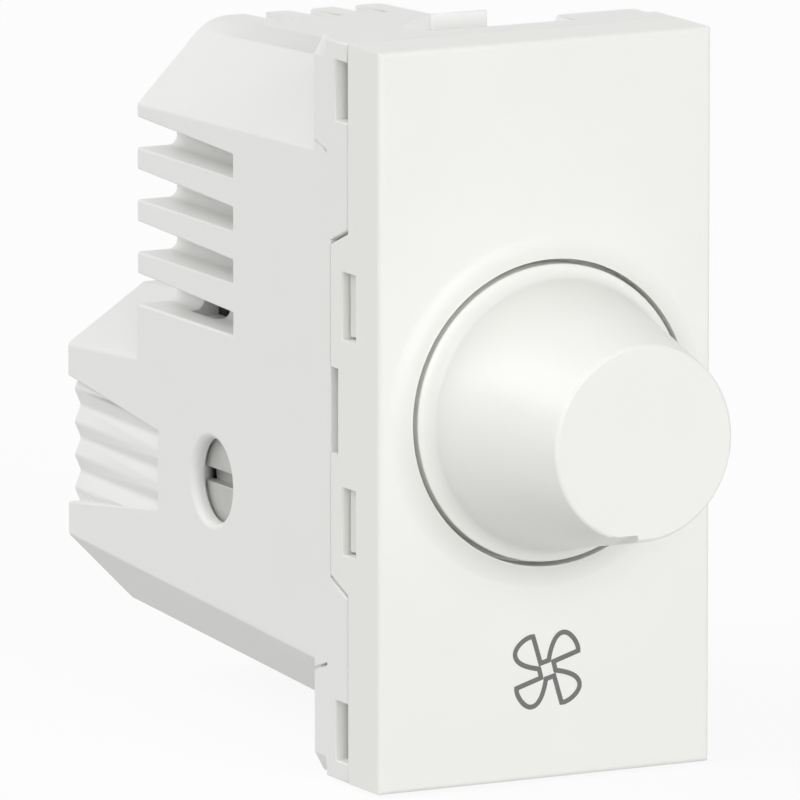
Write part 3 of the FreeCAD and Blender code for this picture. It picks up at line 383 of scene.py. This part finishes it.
# Light table
# The switch stands on a white table that glows from within, and its shadow there is faint.
# The table is pure white where it is seen, and dimmer where it lights the switch.
floor_height = cad_box[0][2]
floor_half = 3.0
floor_tone = 0.95
floor_glow_share = 0.88
table_glow = 0.47
floor_shape = bmesh.new()
bmesh.ops.create_grid(floor_shape, x_segments=1, y_segments=1, size=floor_half,
                      matrix=Matrix.Translation((0, 0, floor_height)))
floor_mesh = bpy.data.meshes.new("studio_floor")
floor_shape.to_mesh(floor_mesh)
floor_shape.free()
studio_floor = bpy.data.objects.new("studio_floor", floor_mesh)
bpy.context.scene.collection.objects.link(studio_floor)


def seen_rays(tree):
    # 1 for what the camera sees, straight or in gloss and glass
    rays = tree.nodes.new("ShaderNodeLightPath")
    seen = rays.outputs["Is Camera Ray"]
    for other in ("Is Glossy Ray", "Is Transmission Ray"):
        either = tree.nodes.new("ShaderNodeMath")
        either.operation = "MAXIMUM"
        tree.links.new(seen, either.inputs[0])
        tree.links.new(rays.outputs[other], either.inputs[1])
        seen = either.outputs["Value"]
    return seen


def glow_strength(tree, glow):
    # The strength of a glow that is pure white where it is seen
    strength = tree.nodes.new("ShaderNodeMix")
    strength.inputs["A"].default_value = glow
    strength.inputs["B"].default_value = 1
    tree.links.new(seen_rays(tree), strength.inputs["Factor"])
    return strength.outputs["Result"]


floor_white = bpy.data.materials.new("floor white")
floor_white.use_nodes = True
floor_tree = floor_white.node_tree
floor_paint = floor_tree.nodes["Principled BSDF"]
floor_paint.inputs["Base Color"].default_value = (floor_tone, floor_tone, floor_tone, 1)
floor_paint.inputs["Roughness"].default_value = 0.9
floor_glow = floor_tree.nodes.new("ShaderNodeEmission")
floor_tree.links.new(glow_strength(floor_tree, table_glow), floor_glow.inputs["Strength"])
floor_mix = floor_tree.nodes.new("ShaderNodeMixShader")
floor_mix.inputs["Fac"].default_value = floor_glow_share
floor_tree.links.new(floor_paint.outputs["BSDF"], floor_mix.inputs[1])
floor_tree.links.new(floor_glow.outputs["Emission"], floor_mix.inputs[2])
floor_tree.links.new(floor_mix.outputs["Shader"], floor_tree.nodes["Material Output"].inputs["Surface"])
dress(studio_floor, floor_white)

# Light tent
# White cloth all round gives an even glow. One wide soft lamp stands at the upper left, a little behind
# the switch, and another in front of it.
tent_glow = 0.47
key_strength = 1.21
key_side = Vector((-0.75, 0.3, 0.65))
front_strength = 2.38
front_side = Vector((-0.06, -1, 0.1))
lamp_spread = math.radians(50)
tent = bpy.data.worlds.new("light tent")
tent.use_nodes = True
tent_tree = tent.node_tree
tent_cloth = tent_tree.nodes["Background"]
tent_cloth.inputs["Color"].default_value = (1, 1, 1, 1)
tent_tree.links.new(glow_strength(tent_tree, tent_glow), tent_cloth.inputs["Strength"])
bpy.context.scene.world = tent
lamps = {"key_lamp": (key_strength, key_side), "front_lamp": (front_strength, front_side)}
for name, (strength, side) in lamps.items():
    lamp_data = bpy.data.lights.new(name, "SUN")
    lamp_data.energy = strength
    lamp_data.angle = lamp_spread
    lamp = bpy.data.objects.new(name, lamp_data)
    lamp.rotation_euler = side.to_track_quat("Z", "Y").to_euler()
    bpy.context.scene.collection.objects.link(lamp)

# Camera
# A long lens, as for a product photo, looks from the front left and a little above.
# It stands most of a metre away.
camera_place = Vector((-0.41494, -0.78806, 0.16015))
camera_aim = Vector((-0.00771, -0.00446, 0.00065))
camera_lens = 673.66
camera_data = bpy.data.cameras.new("product_camera")
camera_data.sensor_width = 36
camera_data.lens = camera_lens
camera_data.clip_start = 0.05
camera_data.clip_end = 20
camera = bpy.data.objects.new("product_camera", camera_data)
camera.location = camera_place
camera.rotation_euler = (camera_aim - camera_place).to_track_quat("-Z", "Y").to_euler()
bpy.context.scene.collection.objects.link(camera)
bpy.context.scene.camera = camera
bpy.context.scene.view_settings.view_transform = "Standard"
